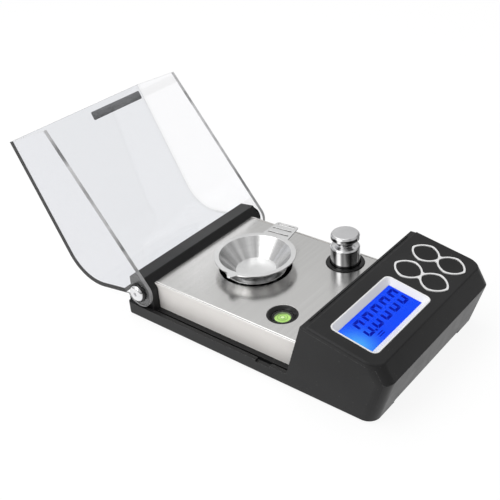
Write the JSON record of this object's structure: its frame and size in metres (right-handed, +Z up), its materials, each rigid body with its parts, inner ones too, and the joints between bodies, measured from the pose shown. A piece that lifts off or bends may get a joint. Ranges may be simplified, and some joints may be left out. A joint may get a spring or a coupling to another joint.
{
  "type": "digital pocket scale",
  "caption": "Pocket scale with a sloping console for display and keys, a steel plate with a lift-off pan, a bubble level, a seated check weight and a clear hinged lid.",
  "frame": {"origin": "on the table, under the middle of the whole outline with the lid open", "axes": "+X to the user's right, +Y from the keys towards the hinge, +Z up"},
  "size_m": [0.0834, 0.1922, 0.079],
  "materials": {
    "case_plastic": "satin",
    "brushed_plate": "brushed",
    "black_ring": "gloss",
    "hinge_chrome": "polished",
    "clear_lid": "clear",
    "label": "matte",
    "cell_aluminium": "machined",
    "screw_steel": "plain",
    "cable": "matte",
    "polished_pan": "polished",
    "plated_weight": "polished",
    "vial_clear": "clear",
    "level_fluid": "liquid",
    "bezel_silver": "satin",
    "window_clear": "clear",
    "display_glass": "lit blue",
    "backlight": "lit",
    "rubber": "matte",
    "switch_black": "gloss",
    "circuit_board": "solder mask",
    "contact_metal": "plated",
    "plated_trim": "plated",
    "key_plastic": "satin",
    "battery_sleeve": "printed sleeve, bare"
  },
  "bodies": {
    "base": {"bottom_shell": "case_plastic", "console_cover": "case_plastic", "plate_cover": "brushed_plate", "hinge_block": "case_plastic", "hinge_washers": "black_ring", "hinge_screws": "hinge_chrome", "load_cell": "cell_aluminium", "load_cell_screws": "screw_steel", "sensor_cable": "cable", "weight_pocket": "black_ring", "bubble_holder": "black_ring", "bubble_vial": "vial_clear", "bubble_fluid": "level_fluid", "lcd_bezel": "bezel_silver", "lcd_window": "window_clear", "lcd_glass": "display_glass", "lcd_backlight": "backlight", "lcd_zebra_strip": "rubber", "key_switches": "switch_black", "main_board": "circuit_board", "board_screws": "screw_steel", "battery_contacts": "contact_metal", "battery_springs": "contact_metal", "rubber_feet": "rubber", "case_screws": "screw_steel", "key_trim_left": "plated_trim", "key_trim_right": "plated_trim", "battery_front": "battery_sleeve", "battery_rear": "battery_sleeve"},
    "lid": {"lid": "clear_lid", "lid_label": "label"},
    "platform": {"weighing_platform": "brushed_plate", "platform_post": "black_ring"},
    "pan": {"weighing_pan": "polished_pan"},
    "weight": {"calibration_weight": "plated_weight"},
    "battery_door": {"battery_door": "case_plastic"},
    "key_rear_left": {"key_rear_left": "key_plastic"},
    "key_rear_right": {"key_rear_right": "key_plastic"},
    "key_front_left": {"key_front_left": "key_plastic"},
    "key_front_right": {"key_front_right": "key_plastic"}
  },
  "joints": [
    {"name": "lid_hinge", "type": "hinge", "parent": "base", "child": "lid", "pos_m": [0, 0.02615, 0.0142], "axis": [-1, 0, 0], "range_deg": [-129.1, 0]},
    {"name": "platform_travel", "type": "slide", "parent": "base", "child": "platform", "axis": [0, 0, 1], "range_m": [-0.0003, 0], "stiffness_N_per_m": 3200},
    {"name": "pan_lift", "type": "slide", "parent": "platform", "child": "pan", "axis": [0, 0, 1], "range_m": [0, 0.065]},
    {"name": "weight_lift", "type": "slide", "parent": "base", "child": "weight", "axis": [0, 0, 1], "range_m": [0, 0.07]},
    {"name": "battery_door_slide", "type": "slide", "parent": "base", "child": "battery_door", "axis": [0, -1, 0], "range_m": [0, 0.034]},
    {"name": "key_rear_left_press", "type": "slide", "parent": "base", "child": "key_rear_left", "axis": [0, 0.1805, -0.9836], "range_m": [0, 0.0006], "stiffness_N_per_m": 1500},
    {"name": "key_rear_right_press", "type": "slide", "parent": "base", "child": "key_rear_right", "axis": [0, 0.1805, -0.9836], "range_m": [0, 0.0006], "stiffness_N_per_m": 1500},
    {"name": "key_front_left_press", "type": "slide", "parent": "base", "child": "key_front_left", "axis": [0, 0.1805, -0.9836], "range_m": [0, 0.0006], "stiffness_N_per_m": 1500},
    {"name": "key_front_right_press", "type": "slide", "parent": "base", "child": "key_front_right", "axis": [0, 0.1805, -0.9836], "range_m": [0, 0.0006], "stiffness_N_per_m": 1500}
  ]
}
